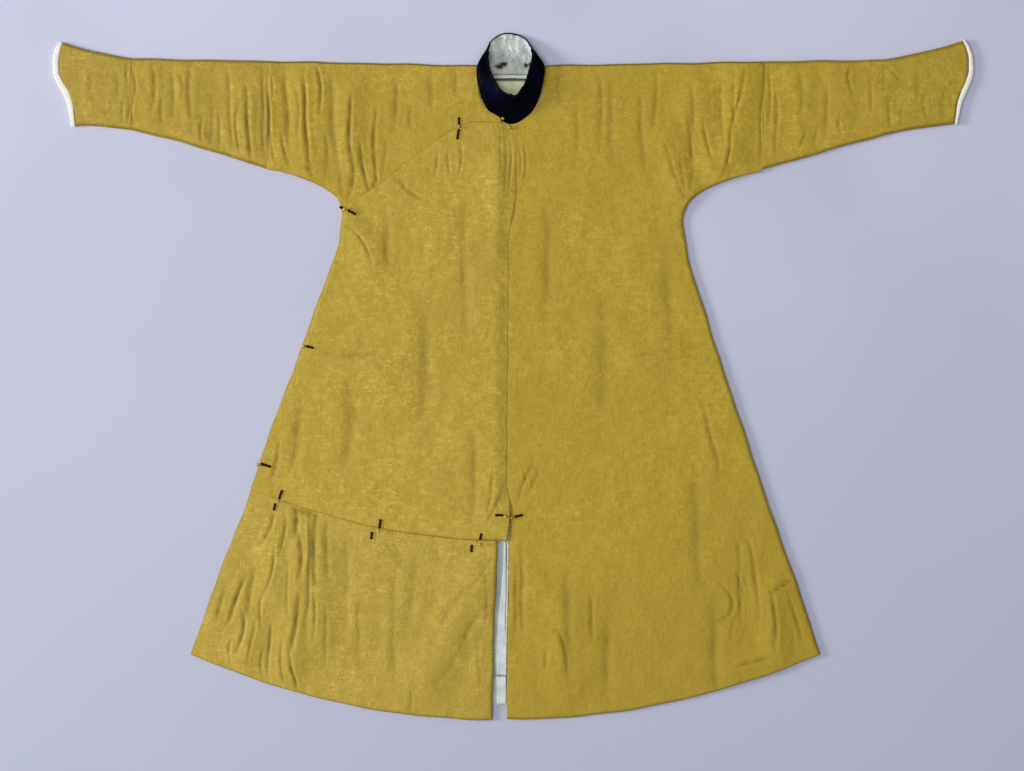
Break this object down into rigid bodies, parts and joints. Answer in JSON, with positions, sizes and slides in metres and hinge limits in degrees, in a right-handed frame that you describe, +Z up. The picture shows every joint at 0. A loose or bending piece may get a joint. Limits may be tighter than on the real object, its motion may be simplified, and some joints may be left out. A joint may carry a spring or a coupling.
{
  "type": "fur-lined travelling robe",
  "caption": "Ochre silk damask court travelling robe laid out flat, with white fur lining, horse-hoof cuffs, a navy satin stand collar and a buttoned-on skirt piece.",
  "frame": {"origin": "on the surface the robe lies on, below the middle of its outline", "axes": "+Z up out of the surface, +Y towards the collar, +X towards the end of the wearer's left sleeve; the robe lies face up"},
  "size_m": [2.101, 1.5643, 0.0543],
  "materials": {
    "silk": "ochre silk damask, soft sheen",
    "fur": "short white pile",
    "satin": "dark navy satin",
    "lining": "pale moon-blue silk",
    "cream_lining": "cream silk",
    "cord": "dark rolled silk cord",
    "gilt": "worn gilt"
  },
  "bodies": {
    "root": {"body_left": "silk", "body_right": "silk", "overlap": "silk", "skirt_piece": "silk", "sleeve_left": "silk", "sleeve_right": "silk", "cuff_left": "silk", "cuff_right": "silk", "cuff_fur_left": "fur", "cuff_fur_right": "fur", "slit_fur": "fur", "slit_lining": "lining", "neck_lining": "cream_lining", "neck_tape": "lining", "collar_band": "satin", "collar_lining": "lining", "lapel_loop": "cord", "lapel_knob": "cord", "armpit_loop": "cord", "armpit_knob": "cord", "upper_side_loop": "cord", "lower_side_loop": "cord", "hem_left_loop": "cord", "hem_left_knob": "cord", "hem_middle_loop": "cord", "hem_middle_knob": "cord", "hem_right_loop": "cord", "hem_right_knob": "cord", "slit_loop": "cord", "slit_knob": "cord", "lapel_ball": "gilt", "armpit_ball": "gilt", "upper_side_ball": "gilt", "lower_side_ball": "gilt", "hem_left_ball": "gilt", "hem_middle_ball": "gilt", "hem_right_ball": "gilt", "slit_loop_ball": "gilt", "slit_knob_ball": "gilt", "collar_ball": "gilt", "neck_ball": "gilt"}
  },
  "joints": []
}
